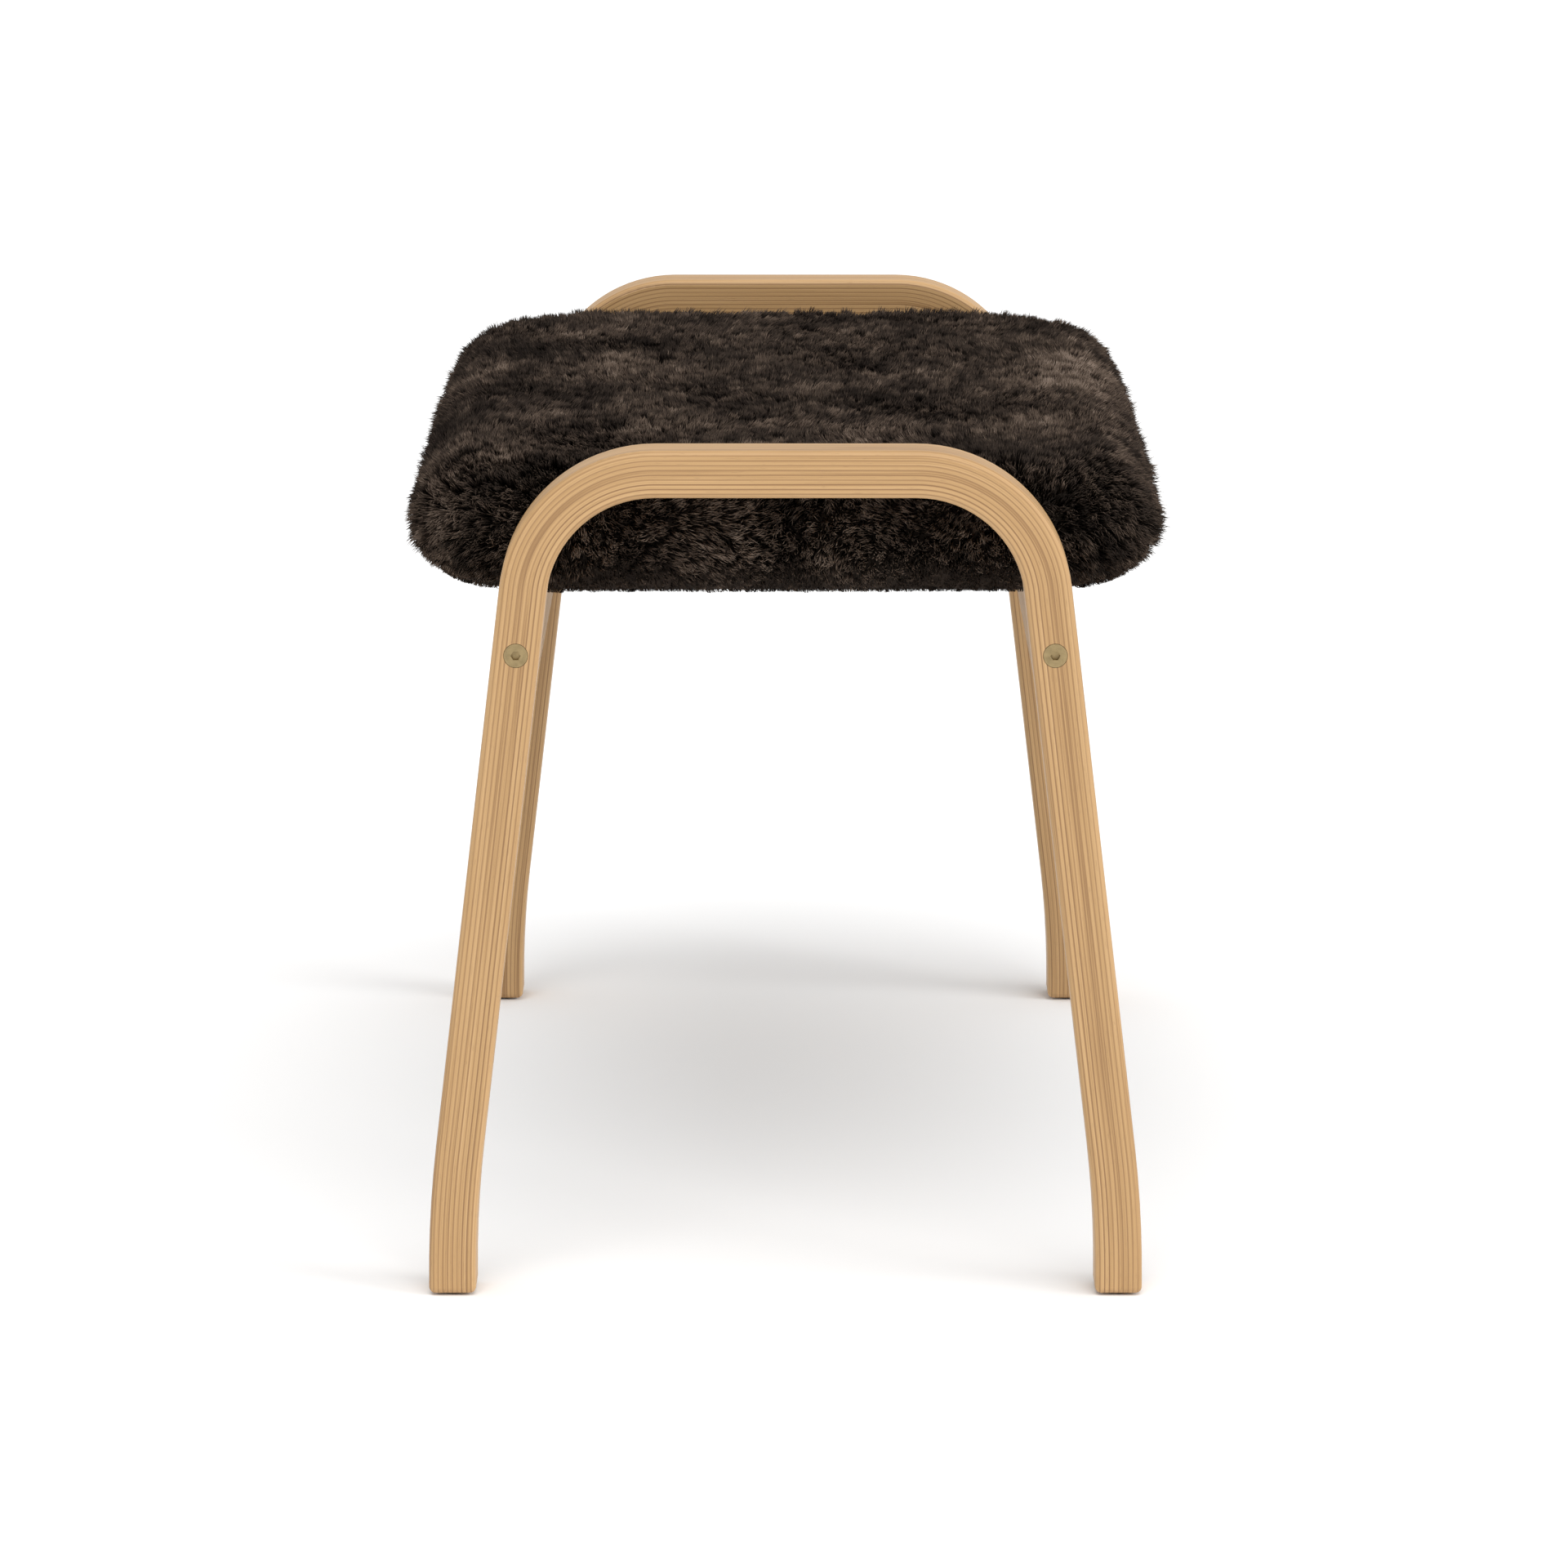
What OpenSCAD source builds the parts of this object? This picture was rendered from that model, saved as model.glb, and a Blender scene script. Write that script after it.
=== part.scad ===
// Footstool: two bent laminated leg frames carry a sheepskin-covered seat between them.
// Origin: on the floor, under the middle of the stool. +Z up, +X to the right, +Y to the rear.

/* [Leg frames] */
// Height over the leg frames
stool_h = 401; // [380:1:420]
// Depth over the outer faces of the two leg frames
stool_d = 600; // [520:10:700]
// Layers of veneer in the bent strip
ply_count = 10; // [8:1:12]
// Thickness of one layer of veneer
ply_t = 2.2; // [1.8:0.1:2.4]
// Width of the bent strip, front to back
strip_w = 26; // [22:1:32]
// Half the length of the straight stretch across the top
top_half = 60; // [40:5:80]
// Centreline radius of the shoulder bends
shoulder_r = 61; // [45:1:80]
// Outward lean of the legs, in degrees
splay = 6.8236; // [4:0.0001:9]
// Centreline radius of the gentle bend above each foot
knee_r = 540; // [400:10:700]
// Rounding along the long edges of the strip
edge_r = 3; // [1:0.5:4]

/* [Side rails] */
// Height of the bolts above the floor
bolt_z = 306; // [300:1:312]
// Distance of the bolts from the middle of the stool
bolt_x = 124; // [120:1:128]
// Thickness of a side rail
rail_t = 16; // [16:1:20]
// Height of a side rail
rail_h = 46; // [40:1:54]

/* [Seat] */
// Width of the cushion, over the pile
seat_w = 352; // [320:2:380]
// Height of the pile's surface above the floor
seat_top = 391; // [384:1:396]
// Height of the board's underside above the floor
board_z = 330; // [326:1:334]
// Thickness of the plywood board
board_t = 12; // [9:1:15]
// Thickness of the sheepskin, pile and hide together
skin_t = 19; // [14:1:22]
// Thickness of the hide where it is clipped and turned under the board
flap_t = 3; // [2:0.5:4]
// Thickness of the wadding over the foam
wadding_t = 4; // [3:1:6]
// Plan radius of the cushion's corners
corner_r = 68; // [55:1:80]
// Gap between the cushion and each leg frame
end_gap = 2.5; // [1:0.5:6]

/* [Fittings] */
// Diameter of the bolt heads
head_d = 11; // [9:0.5:13]
// Thread diameter of the bolts
bolt_d = 6; // [5:1:6]
// Length of the bolts, head included
bolt_l = 60; // [56:1:66]
// Width across flats of the hexagon socket
socket_af = 4; // [3:0.5:5]
// Height of the glides under the feet
glide_t = 1; // [0.5:0.5:2]

/* [Hidden] */
$fn = 64;
eps = 0.01;

// Leg frame centreline: half of the top, a shoulder bend, a straight leg, a knee bend, a short foot
strip_t = ply_count * ply_t;
foot_h = 6;
top_z = stool_h - strip_t / 2;
shoulder_z = top_z - shoulder_r;
knee_in = knee_r - shoulder_r;
leg_len = round(1000 * (shoulder_z - foot_h - knee_in * sin(splay)) / cos(splay)) / 1000;
foot_x = top_half - knee_in * cos(splay) + leg_len * sin(splay) + knee_r;
frame_y = stool_d / 2 - strip_w / 2;
inner_face_y = stool_d / 2 - strip_w;

// Side rails
rail_z = board_z - rail_h;
rail_edge_r = 2;
rail_screw_ys = [-170, 0, 170];

// Joint between a leg frame and a side rail
head_land = 0.8;
head_cone = 2.4;
socket_depth = 2.4;
clearance = 0.4;
nut_d = 10;
nut_l = 13;
nut_y = stool_d / 2 - 50;
dowel_d = 6;
dowel_l = 24;
dowel_z = bolt_z - 14;

// Seat layers, from the board up to the pile
core_w = seat_w - 2 * skin_t;
seat_l = 2 * (inner_face_y - end_gap);
core_l = seat_l - 2 * skin_t;
core_top = seat_top - skin_t + 2;
board_w = core_w - 2 * wadding_t;
board_l = core_l - 2 * wadding_t;
board_corner_r = corner_r - skin_t - wadding_t;
foam_top = core_top - wadding_t;
flap_w = 26;
rail_gap = 2;

// Screws up through the side rails into the board
screw_d = 4.5;
screw_head_d = 8.6;
screw_sink = 10;
screw_l = 42;

// Staples under the board
staple_wire = 1.2;
staple_w = 12;
staple_leg = 7;
dust_t = 1;
dust_edge = 3;

// Glides
glide_d = 17;
glide_pin_d = 5;
glide_pin_l = 14;
foot_round = 2.5;

// ---------- Shared shapes ----------

// Rectangle centred on the origin, with round corners
module round_rect(x, y, r) {
    square([x - 2 * r, y], center = true);
    square([x, y - 2 * r], center = true);
    for (i = [-1, 1], j = [-1, 1])
        translate([i * (x / 2 - r), j * (y / 2 - r)]) circle(r);
}

// Copies for the left and right sides
module both_sides() {
    for (s = [-1, 1]) mirror([s < 0 ? 1 : 0, 0, 0]) children();
}

// Copies for the front and the rear, drawn for the rear
module both_ends() {
    for (s = [-1, 1]) mirror([0, s < 0 ? 1 : 0, 0]) children();
}

// Straight stretch of strip, running up from the origin
module strip_straight(length) {
    linear_extrude(length) round_rect(strip_t, strip_w, edge_r);
}

// Bend of strip about the Y axis, from one angle above +X through a sweep
module strip_bend(r, start, sweep) {
    rotate([90, 0, 0]) rotate_extrude(angle = sweep, start = start, $fn = 128)
        translate([r, 0]) round_rect(strip_t, strip_w, edge_r);
}

// Foot end below the origin: a straight block whose lower edges are rounded
module foot_block() {
    flat_t = strip_t - 2 * edge_r;
    flat_w = strip_w - 2 * edge_r;
    translate([0, 0, glide_t - foot_h]) {
        translate([0, 0, edge_r]) strip_straight(foot_h - glide_t - edge_r);
        linear_extrude(edge_r) square([flat_t, flat_w], center = true);
        for (j = [-1, 1]) translate([0, j * flat_w / 2, edge_r]) rotate([0, 90, 0])
            cylinder(h = flat_t, r = edge_r, center = true);
        for (i = [-1, 1]) translate([i * flat_t / 2, 0, edge_r]) rotate([90, 0, 0])
            cylinder(h = flat_w, r = edge_r, center = true);
        for (i = [-1, 1], j = [-1, 1])
            translate([i * flat_t / 2, j * flat_w / 2, edge_r]) sphere(edge_r);
    }
}

// Flat slab with a plan of round corners and sides that roll over at the top and the bottom.
// x and y are its full width and length, from z0 up to z1.
module rolled_slab(x, y, z0, z1, plan_r, top_r, bottom_r) {
    h = z1 - z0;
    module side_profile(reach) {
        intersection() {
            square([reach, h]);
            union() {
                square([reach - top_r, h]);
                square([reach - bottom_r, h - top_r]);
                translate([0, bottom_r]) square([reach, h - top_r - bottom_r]);
                translate([reach - top_r, h - top_r]) circle(top_r);
                translate([reach - bottom_r, bottom_r]) circle(bottom_r);
            }
        }
    }
    flat_x = x / 2 - plan_r;
    flat_y = y / 2 - plan_r;
    translate([0, 0, z0]) {
        linear_extrude(h) square([2 * flat_x, 2 * flat_y], center = true);
        for (a = [0, 180]) rotate([0, 0, a]) {
            translate([flat_x, flat_y, 0]) rotate([90, 0, 0])
                linear_extrude(2 * flat_y) side_profile(plan_r);
            translate([-flat_x, flat_y, 0]) rotate([90, 0, 90])
                linear_extrude(2 * flat_x) side_profile(plan_r);
            translate([flat_x, flat_y, 0]) rotate_extrude(angle = 90) side_profile(plan_r);
            translate([-flat_x, flat_y, 0]) rotate([0, 0, 90])
                rotate_extrude(angle = 90) side_profile(plan_r);
        }
    }
}

// ---------- Leg frames ----------

// Countersunk hole for a bolt, drawn at the rear face with its axis along Y
module bolt_hole() {
    translate([bolt_x, stool_d / 2, bolt_z]) rotate([90, 0, 0]) {
        translate([0, 0, -eps]) cylinder(h = head_land + eps, d = head_d + clearance);
        translate([0, 0, head_land - eps])
            cylinder(h = head_cone, d1 = head_d + clearance, d2 = bolt_d + clearance);
        cylinder(h = strip_w + 1, d = bolt_d + clearance);
    }
}

// Hole for a locating dowel, half in the leg frame and half in the rail
module dowel_hole() {
    translate([bolt_x, inner_face_y + dowel_l / 2, dowel_z]) rotate([90, 0, 0])
        cylinder(h = dowel_l, d = dowel_d);
}

module glide_hole() {
    translate([foot_x, frame_y, 0]) cylinder(h = glide_t + glide_pin_l, d = glide_pin_d);
}

// Right half of a leg frame, with the strip's centreline in the XZ plane
module half_frame() {
    translate([0, 0, top_z]) rotate([0, 90, 0]) strip_straight(top_half);
    translate([top_half, 0, shoulder_z]) rotate([0, -splay, 0]) {
        strip_bend(shoulder_r, 0, 90 - splay);
        translate([shoulder_r, 0, -leg_len]) strip_straight(leg_len);
        translate([-knee_in, 0, -leg_len]) {
            strip_bend(knee_r, -splay, splay);
            rotate([0, splay, 0]) translate([knee_r, 0, 0]) foot_block();
        }
    }
}

// One leg frame, drawn at the rear of the stool
module leg_frame() {
    difference() {
        translate([0, frame_y, 0]) both_sides() half_frame();
        both_sides() {
            bolt_hole();
            dowel_hole();
            glide_hole();
        }
    }
}

module front_leg_frame() {
    color("burlywood") mirror([0, 1, 0]) leg_frame();
}

module rear_leg_frame() {
    color("burlywood") leg_frame();
}

// ---------- Side rails ----------

// Drawn on the right; runs from one leg frame to the other
module side_rail() {
    difference() {
        translate([bolt_x, inner_face_y, rail_z + rail_h / 2]) rotate([90, 0, 0])
            linear_extrude(2 * inner_face_y) round_rect(rail_t, rail_h, rail_edge_r);
        both_ends() {
            translate([bolt_x, inner_face_y + eps, bolt_z]) rotate([90, 0, 0])
                cylinder(h = bolt_l - strip_w + 6, d = bolt_d + clearance);
            translate([bolt_x - rail_t / 2 - eps, nut_y, bolt_z]) rotate([0, 90, 0])
                cylinder(h = (rail_t + nut_l) / 2 + eps, d = nut_d);
            dowel_hole();
        }
        for (y = rail_screw_ys) translate([bolt_x, y, rail_z]) {
            translate([0, 0, -eps]) cylinder(h = screw_sink + eps, d = screw_head_d + clearance);
            cylinder(h = rail_h + eps, d = screw_d);
        }
    }
}

module left_side_rail() {
    color("tan") mirror([1, 0, 0]) side_rail();
}

module right_side_rail() {
    color("tan") side_rail();
}

// ---------- Fittings of the frame ----------

// Countersunk bolt with a hexagon socket, head outwards at the rear face
module frame_bolt() {
    translate([bolt_x, stool_d / 2, bolt_z]) rotate([90, 0, 0]) difference() {
        union() {
            cylinder(h = head_land, d = head_d);
            translate([0, 0, head_land]) cylinder(h = head_cone, d1 = head_d, d2 = bolt_d);
            cylinder(h = bolt_l, d = bolt_d);
        }
        translate([0, 0, -eps])
            cylinder(h = socket_depth + eps, d = socket_af / cos(30), $fn = 6);
    }
}

module frame_bolts() {
    color("darkkhaki") both_ends() both_sides() frame_bolt();
}

// Cross-drilled barrel nut with a screwdriver slot in its open end
module barrel_nut() {
    slot_w = 1.4;
    slot_depth = 1.5;
    translate([bolt_x - nut_l / 2, nut_y, bolt_z]) difference() {
        rotate([0, 90, 0]) cylinder(h = nut_l, d = nut_d);
        translate([nut_l / 2, 0, 0]) rotate([90, 0, 0])
            cylinder(h = nut_d + 2, d = bolt_d, center = true);
        translate([slot_depth / 2 - eps, 0, 0])
            cube([slot_depth, nut_d + 2, slot_w], center = true);
    }
}

module barrel_nuts() {
    color("silver") both_ends() both_sides() barrel_nut();
}

module locating_dowels() {
    color("wheat") both_ends() both_sides() dowel_hole();
}

// ---------- Seat ----------

// Plain countersunk wood screw from below, its head sunk in the rail
module rail_screw() {
    head_cone_h = 2.6;
    translate([0, 0, rail_z + screw_sink - head_cone_h]) {
        cylinder(h = head_cone_h, d1 = screw_head_d, d2 = screw_d);
        cylinder(h = screw_l, d = screw_d);
    }
}

module rail_screws() {
    color("silver") both_sides()
        for (y = rail_screw_ys) translate([bolt_x, y, 0]) rail_screw();
}

// Staple driven upwards: a crown under the surface at z, and two legs
module staple(z) {
    translate([0, 0, z - staple_wire / 2])
        cube([staple_w, staple_wire, staple_wire], center = true);
    for (i = [-1, 1]) translate([i * (staple_w - staple_wire) / 2, 0, z + staple_leg / 2])
        cube([staple_wire, staple_wire, staple_leg], center = true);
}

// Staples that hold the turned-under edge of the sheepskin
module cover_staple_ring() {
    side_x = board_w / 2 - flap_w / 3;
    end_y = board_l / 2 - flap_w / 3;
    both_sides() for (y = [-180 : 45 : 180])
        translate([side_x, y, 0]) rotate([0, 0, 90]) staple(board_z - flap_t);
    both_ends() for (x = [-88 : 44 : 88])
        translate([x, end_y, 0]) staple(board_z - flap_t);
}

// Staples along the edge of the dust cover
module dust_staple_ring() {
    both_sides() for (y = [-195 : 65 : 195])
        translate([bolt_x - rail_t / 2 - 8, y, 0]) rotate([0, 0, 90]) staple(board_z - dust_t);
    both_ends() for (x = [-60 : 60 : 60])
        translate([x, board_l / 2 - flap_w - 9, 0]) staple(board_z - dust_t);
}

module seat_board() {
    color("peru") difference() {
        translate([0, 0, board_z]) linear_extrude(board_t)
            round_rect(board_w, board_l, board_corner_r);
        both_sides() for (y = rail_screw_ys) translate([bolt_x, y, 0]) rail_screw();
        cover_staple_ring();
        dust_staple_ring();
    }
}

module foam_pad() {
    foam_roll_r = 16;
    color("lightyellow") intersection() {
        rolled_slab(board_w, board_l, board_z, foam_top, board_corner_r, foam_roll_r, 2);
        translate([0, 0, board_z + board_t + 50]) cube([seat_w, seat_l, 100], center = true);
    }
}

module wadding() {
    core_roll_r = 20;
    color("white") difference() {
        rolled_slab(core_w, core_l, board_z, core_top, corner_r - skin_t, core_roll_r, 2);
        rolled_slab(board_w, board_l, board_z - 10, foam_top, board_corner_r, 16, 2);
    }
}

module sheepskin_cover() {
    core_roll_r = 20;
    top_roll_r = 36;
    bottom_roll_r = 26;
    opening_w = board_w - 2 * flap_w + 8;
    opening_l = board_l - 2 * flap_w;
    color("saddlebrown") difference() {
        rolled_slab(seat_w, seat_l, board_z - flap_t, seat_top, corner_r, top_roll_r, bottom_roll_r);
        rolled_slab(core_w, core_l, board_z, core_top, corner_r - skin_t, core_roll_r, 2);
        translate([0, 0, board_z - 20]) linear_extrude(20 + eps)
            round_rect(opening_w, opening_l, 12);
        both_sides() translate([bolt_x, 0, board_z - 20])
            cube([rail_t + 2 * rail_gap, seat_l + 2, 40], center = true);
    }
}

module cover_staples() {
    color("silver") cover_staple_ring();
}

module dust_cover() {
    color("dimgray") difference() {
        translate([0, 0, board_z - dust_t]) linear_extrude(dust_t)
            round_rect(2 * (bolt_x - rail_t / 2 - dust_edge), board_l - 2 * flap_w - 2 * dust_edge, 6);
        dust_staple_ring();
    }
}

module dust_cover_staples() {
    color("silver") dust_staple_ring();
}

// ---------- Glides ----------

// Nylon glide with a round pin pressed into the foot, drawn at the rear right foot
module glide() {
    color("dimgray") translate([foot_x, frame_y, 0]) {
        cylinder(h = glide_t, d = glide_d);
        cylinder(h = glide_t + glide_pin_l, d = glide_pin_d);
    }
}

module front_left_glide() { rotate([0, 0, 180]) glide(); }
module front_right_glide() { mirror([0, 1, 0]) glide(); }
module rear_left_glide() { mirror([1, 0, 0]) glide(); }
module rear_right_glide() { glide(); }

front_leg_frame();
rear_leg_frame();
left_side_rail();
right_side_rail();
frame_bolts();
barrel_nuts();
locating_dowels();
seat_board();
rail_screws();
foam_pad();
wadding();
sheepskin_cover();
cover_staples();
dust_cover();
dust_cover_staples();
front_left_glide();
front_right_glide();
rear_left_glide();
rear_right_glide();
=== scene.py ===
"""Looks of the footstool: materials for its CAD frame, and a sheepskin cushion built as real pile."""
import math

import bpy
import numpy as np
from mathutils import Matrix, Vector
from mathutils.kdtree import KDTree


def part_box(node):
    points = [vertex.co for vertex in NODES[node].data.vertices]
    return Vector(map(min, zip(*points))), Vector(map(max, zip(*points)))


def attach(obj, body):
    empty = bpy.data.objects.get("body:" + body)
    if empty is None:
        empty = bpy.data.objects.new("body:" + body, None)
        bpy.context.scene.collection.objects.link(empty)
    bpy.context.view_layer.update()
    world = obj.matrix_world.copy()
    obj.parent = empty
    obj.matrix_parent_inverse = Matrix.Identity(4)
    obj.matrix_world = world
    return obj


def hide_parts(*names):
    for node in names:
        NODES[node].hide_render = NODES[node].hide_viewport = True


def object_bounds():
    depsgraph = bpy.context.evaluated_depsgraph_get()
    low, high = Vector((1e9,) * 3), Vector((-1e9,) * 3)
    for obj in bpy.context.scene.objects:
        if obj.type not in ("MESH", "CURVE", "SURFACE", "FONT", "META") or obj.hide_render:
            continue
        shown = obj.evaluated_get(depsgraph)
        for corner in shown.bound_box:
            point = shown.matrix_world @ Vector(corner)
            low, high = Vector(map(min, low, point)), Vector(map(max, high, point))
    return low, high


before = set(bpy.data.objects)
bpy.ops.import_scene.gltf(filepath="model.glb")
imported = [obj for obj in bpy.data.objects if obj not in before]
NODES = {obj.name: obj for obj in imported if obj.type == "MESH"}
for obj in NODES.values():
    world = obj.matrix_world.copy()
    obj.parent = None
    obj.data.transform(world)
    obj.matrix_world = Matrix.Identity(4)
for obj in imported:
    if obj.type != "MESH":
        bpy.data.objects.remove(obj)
CAD_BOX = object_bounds()
BODY = "root"
MM = 0.001

# ---------- Sizes, from the frame ----------

SEAT_LOW, SEAT_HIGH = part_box("sheepskin_cover")
LEG_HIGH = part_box("rear_leg_frame")[1]
BOARD_LOW, BOARD_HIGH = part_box("seat_board")
FOAM_LOW, FOAM_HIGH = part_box("foam_pad")
WADDING_LOW, WADDING_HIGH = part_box("wadding")
DUST_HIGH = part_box("dust_cover")[1]
RAIL_LOW, RAIL_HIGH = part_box("right_side_rail")

# The bent strip, as it is drawn in the CAD source
PLY_T, PLY_COUNT = 2.2 * MM, 10
STRIP_T = PLY_COUNT * PLY_T
TOP_HALF = 60 * MM
SHOULDER_R = 61 * MM
KNEE_R = 540 * MM
SPLAY = math.radians(6.8236)
FOOT_H = 6 * MM
TOP_Z = LEG_HIGH.z - STRIP_T / 2
SHOULDER_Z = TOP_Z - SHOULDER_R
KNEE_IN = KNEE_R - SHOULDER_R
LEG_LEN = (SHOULDER_Z - FOOT_H - KNEE_IN * math.sin(SPLAY)) / math.cos(SPLAY)

# The cushion's outer form, as it is drawn in the CAD source
CORNER_R = 68 * MM
TOP_ROLL = 36 * MM
BOTTOM_ROLL = 26 * MM
BOARD_CORNER_R = 45 * MM

# The photograph's camera, and its height above the floor and distance from the front leg frame
LENS_MM = 153.04
CAMERA_X, CAMERA_AWAY, CAMERA_Z = -0.0007, 3.0062, 0.8915
CAMERA_DOWN_DEG = 12.122


# ---------- Camera, light and floor ----------

def make_camera():
    """The photograph's viewing angle: in front of the stool, looking a little down at it."""
    data = bpy.data.cameras.new("camera")
    data.sensor_width = 36.0
    data.lens = LENS_MM
    data.clip_start, data.clip_end = 0.1, 50.0
    camera = bpy.data.objects.new("camera", data)
    camera.location = (CAMERA_X, CAD_BOX[0].y - CAMERA_AWAY, CAMERA_Z)
    camera.rotation_euler = (math.radians(90 - CAMERA_DOWN_DEG), 0, 0)
    bpy.context.scene.collection.objects.link(camera)
    bpy.context.scene.camera = camera


def add_sun(name, energy, place, width_deg):
    """A soft sun that shines from a place towards the origin."""
    data = bpy.data.lights.new(name, "SUN")
    data.energy = energy
    data.angle = math.radians(width_deg)
    lamp = bpy.data.objects.new(name, data)
    lamp.location = place
    lamp.rotation_euler = (-Vector(place)).to_track_quat("-Z", "Y").to_euler()
    bpy.context.scene.collection.objects.link(lamp)


def make_light():
    """An even white studio, a wide soft light overhead and a soft key from the right and the front."""
    world = bpy.data.worlds.new("studio")
    bpy.context.scene.world = world
    world.use_nodes = True
    background = world.node_tree.nodes["Background"].inputs
    background["Color"].default_value = (1, 1, 1, 1)
    background["Strength"].default_value = 0.75
    add_sun("overhead", 1.40, (0.1, -1.15, 1.9), 45)
    add_sun("key", 1.0, (1.6, -0.7, 0.9), 28)
    bpy.context.scene.view_settings.view_transform = "Standard"


def make_floor():
    """A wide plain white floor under the stool."""
    half = 12.0
    mesh = bpy.data.meshes.new("floor")
    corners = [(-half, -half, 0), (half, -half, 0), (half, half, 0), (-half, half, 0)]
    mesh.from_pydata(corners, [], [(0, 1, 2, 3)])
    floor = bpy.data.objects.new("floor", mesh)
    bpy.context.scene.collection.objects.link(floor)
    mat = bpy.data.materials.new("floor_white")
    mat.use_nodes = True
    bsdf = mat.node_tree.nodes["Principled BSDF"]
    bsdf.inputs["Base Color"].default_value = (0.96, 0.96, 0.96, 1)
    bsdf.inputs["Roughness"].default_value = 0.9
    bsdf.inputs["Specular IOR Level"].default_value = 0.0
    mesh.materials.append(mat)


# ---------- Node helpers ----------

class Shader:
    """A material under construction: short calls that add a node and return its output."""

    def __init__(self, name, **constants):
        self.material = bpy.data.materials.new(name)
        self.material.use_nodes = True
        self.tree = self.material.node_tree
        self.bsdf = self.tree.nodes["Principled BSDF"]
        for socket, value in constants.items():
            self.set(socket, value)

    def set(self, socket, value):
        names = {"specular": "Specular IOR Level", "metallic": "Metallic", "roughness": "Roughness",
                 "colour": "Base Color"}
        self.bsdf.inputs[names[socket]].default_value = (*value, 1.0) if socket == "colour" else value

    def link(self, value, socket):
        if isinstance(value, bpy.types.NodeSocket):
            self.tree.links.new(value, socket)
        else:
            socket.default_value = value

    def math(self, operation, *values):
        node = self.tree.nodes.new("ShaderNodeMath")
        node.operation = operation
        for value, socket in zip(values, node.inputs):
            self.link(value, socket)
        return node.outputs[0]

    def pick(self, share, off, on):
        """off where share is 0, on where it is 1; plain numbers."""
        return self.math("ADD", off, self.math("MULTIPLY", share, self.math("SUBTRACT", on, off)))

    def object_xyz(self):
        coords = self.tree.nodes.new("ShaderNodeTexCoord")
        split = self.tree.nodes.new("ShaderNodeSeparateXYZ")
        self.tree.links.new(coords.outputs["Object"], split.inputs[0])
        return split.outputs[0], split.outputs[1], split.outputs[2]

    def vector(self, x, y, z):
        node = self.tree.nodes.new("ShaderNodeCombineXYZ")
        for value, socket in zip((x, y, z), node.inputs):
            self.link(value, socket)
        return node.outputs[0]

    def noise(self, vector, scale=1.0, detail=2.0, roughness=0.5, distortion=0.0):
        node = self.tree.nodes.new("ShaderNodeTexNoise")
        self.link(vector, node.inputs["Vector"])
        node.inputs["Scale"].default_value = scale
        node.inputs["Detail"].default_value = detail
        node.inputs["Roughness"].default_value = roughness
        node.inputs["Distortion"].default_value = distortion
        return node.outputs["Fac"]

    def white(self, vector):
        node = self.tree.nodes.new("ShaderNodeTexWhiteNoise")
        self.link(vector, node.inputs["Vector"])
        return node.outputs["Value"]

    def ramp(self, value, *stops):
        """A colour ramp; each stop is (place, colour)."""
        node = self.tree.nodes.new("ShaderNodeValToRGB")
        self.link(value, node.inputs[0])
        ramp = node.color_ramp
        while len(ramp.elements) < len(stops):
            ramp.elements.new(0.5)
        for element, (place, colour) in zip(ramp.elements, stops):
            element.position = place
            element.color = (*colour, 1)
        return node.outputs[0]

    def mix(self, share, a, b):
        """Colour a where share is 0, b where it is 1."""
        node = self.tree.nodes.new("ShaderNodeMix")
        node.data_type = "RGBA"
        self.link(share, node.inputs["Factor"])
        for value, socket in ((a, node.inputs["A"]), (b, node.inputs["B"])):
            self.link((*value, 1.0) if isinstance(value, tuple) else value, socket)
        return node.outputs["Result"]

    def smooth(self, value, low, high):
        """0 below low, 1 above high, smooth between."""
        node = self.tree.nodes.new("ShaderNodeMapRange")
        node.interpolation_type = "SMOOTHSTEP"
        self.link(value, node.inputs["Value"])
        node.inputs["From Min"].default_value = low
        node.inputs["From Max"].default_value = high
        return node.outputs[0]

    def bump(self, height, distance, strength):
        node = self.tree.nodes.new("ShaderNodeBump")
        self.link(height, node.inputs["Height"])
        node.inputs["Distance"].default_value = distance
        node.inputs["Strength"].default_value = strength
        return node.outputs[0]

    def finish(self, colour=None, roughness=None, normal=None):
        for value, socket in ((colour, "Base Color"), (roughness, "Roughness"), (normal, "Normal")):
            if value is not None:
                self.tree.links.new(value, self.bsdf.inputs[socket])
        return self.material


def dress(material, *nodes):
    """Gives CAD nodes a material."""
    for name in nodes:
        mesh = NODES[name].data
        mesh.materials.clear()
        mesh.materials.append(material)


# ---------- Wood ----------

OAK_LIGHT = (0.590, 0.372, 0.177)
OAK_MID = (0.475, 0.283, 0.120)
OAK_DARK = (0.235, 0.118, 0.043)
OAK_PORE = (0.30, 0.165, 0.07)
GLUE_LINE = (0.25, 0.132, 0.053)
WOOD_RELIEF = 0.12 * MM                         # how deep the bump makes the grain


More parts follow.
